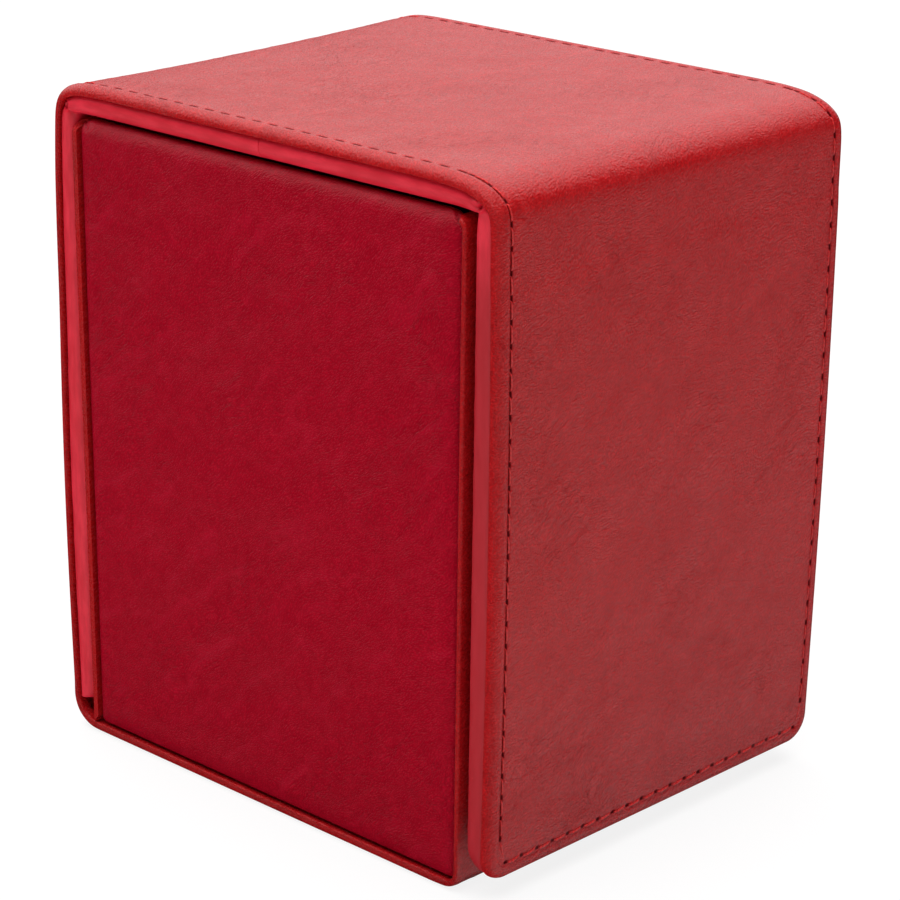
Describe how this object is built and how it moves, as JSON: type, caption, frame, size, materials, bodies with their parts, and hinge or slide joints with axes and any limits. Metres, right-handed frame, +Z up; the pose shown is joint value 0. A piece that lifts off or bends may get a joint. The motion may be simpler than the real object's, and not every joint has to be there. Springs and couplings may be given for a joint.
{
  "type": "card deck box",
  "caption": "Upright leatherette box for a sleeved card deck, with a hinged lid and a fold-down front flap held shut by magnets.",
  "frame": {"origin": "centre of the rest face, on the plane the box stands on", "axes": "+X along both hinge lines, -Y towards the opening front flap, +Y towards the back, +Z up"},
  "size_m": [0.076, 0.0944, 0.108],
  "materials": {
    "cover_leather": "fine grained red leatherette, satin",
    "plate_leather": "fine grained crimson leatherette, satin",
    "edge_lining": "smooth bright red synthetic, satin",
    "thread": "twisted polyester sewing thread",
    "board": "grey bookbinding board, uncoated",
    "magnet": "nickel plated disc",
    "microfibre": "short pile black microfibre"
  },
  "bodies": {
    "body": {"body_wrap_leather": "cover_leather", "back_stitching": "thread", "back_lining": "edge_lining", "back_board": "board", "rear_hinge_leather": "cover_leather", "rear_hinge_lining": "edge_lining", "rear_hinge_stitching": "thread", "front_wall_board": "board", "body_magnets": "magnet", "rear_wall_board": "board", "rear_wall_leather": "cover_leather", "floor_board": "board", "left_wall_board": "board", "right_wall_board": "board", "left_plate_board": "board", "right_plate_board": "board", "left_plate_leather": "plate_leather", "right_plate_leather": "plate_leather", "front_microfibre": "microfibre", "rear_microfibre": "microfibre", "left_microfibre": "microfibre", "right_microfibre": "microfibre", "floor_microfibre": "microfibre"},
    "lid": {"lid_leather": "cover_leather", "lid_lining": "edge_lining", "lid_board": "board", "lid_stitching": "thread", "front_hinge_leather": "cover_leather", "front_hinge_lining": "edge_lining", "front_hinge_stitching": "thread"},
    "flap": {"flap_leather": "cover_leather", "flap_lining": "edge_lining", "flap_board": "board", "flap_magnets": "magnet", "flap_stitching": "thread"}
  },
  "joints": [
    {"name": "lid_hinge", "type": "hinge", "parent": "body", "child": "lid", "pos_m": [0, 0.04553, 0.10628], "axis": [-1, 0, 0], "range_deg": [0, 175]},
    {"name": "flap_hinge", "type": "hinge", "parent": "lid", "child": "flap", "pos_m": [0, -0.04553, 0.10628], "axis": [-1, 0, 0], "range_deg": [0, 90]}
  ]
}
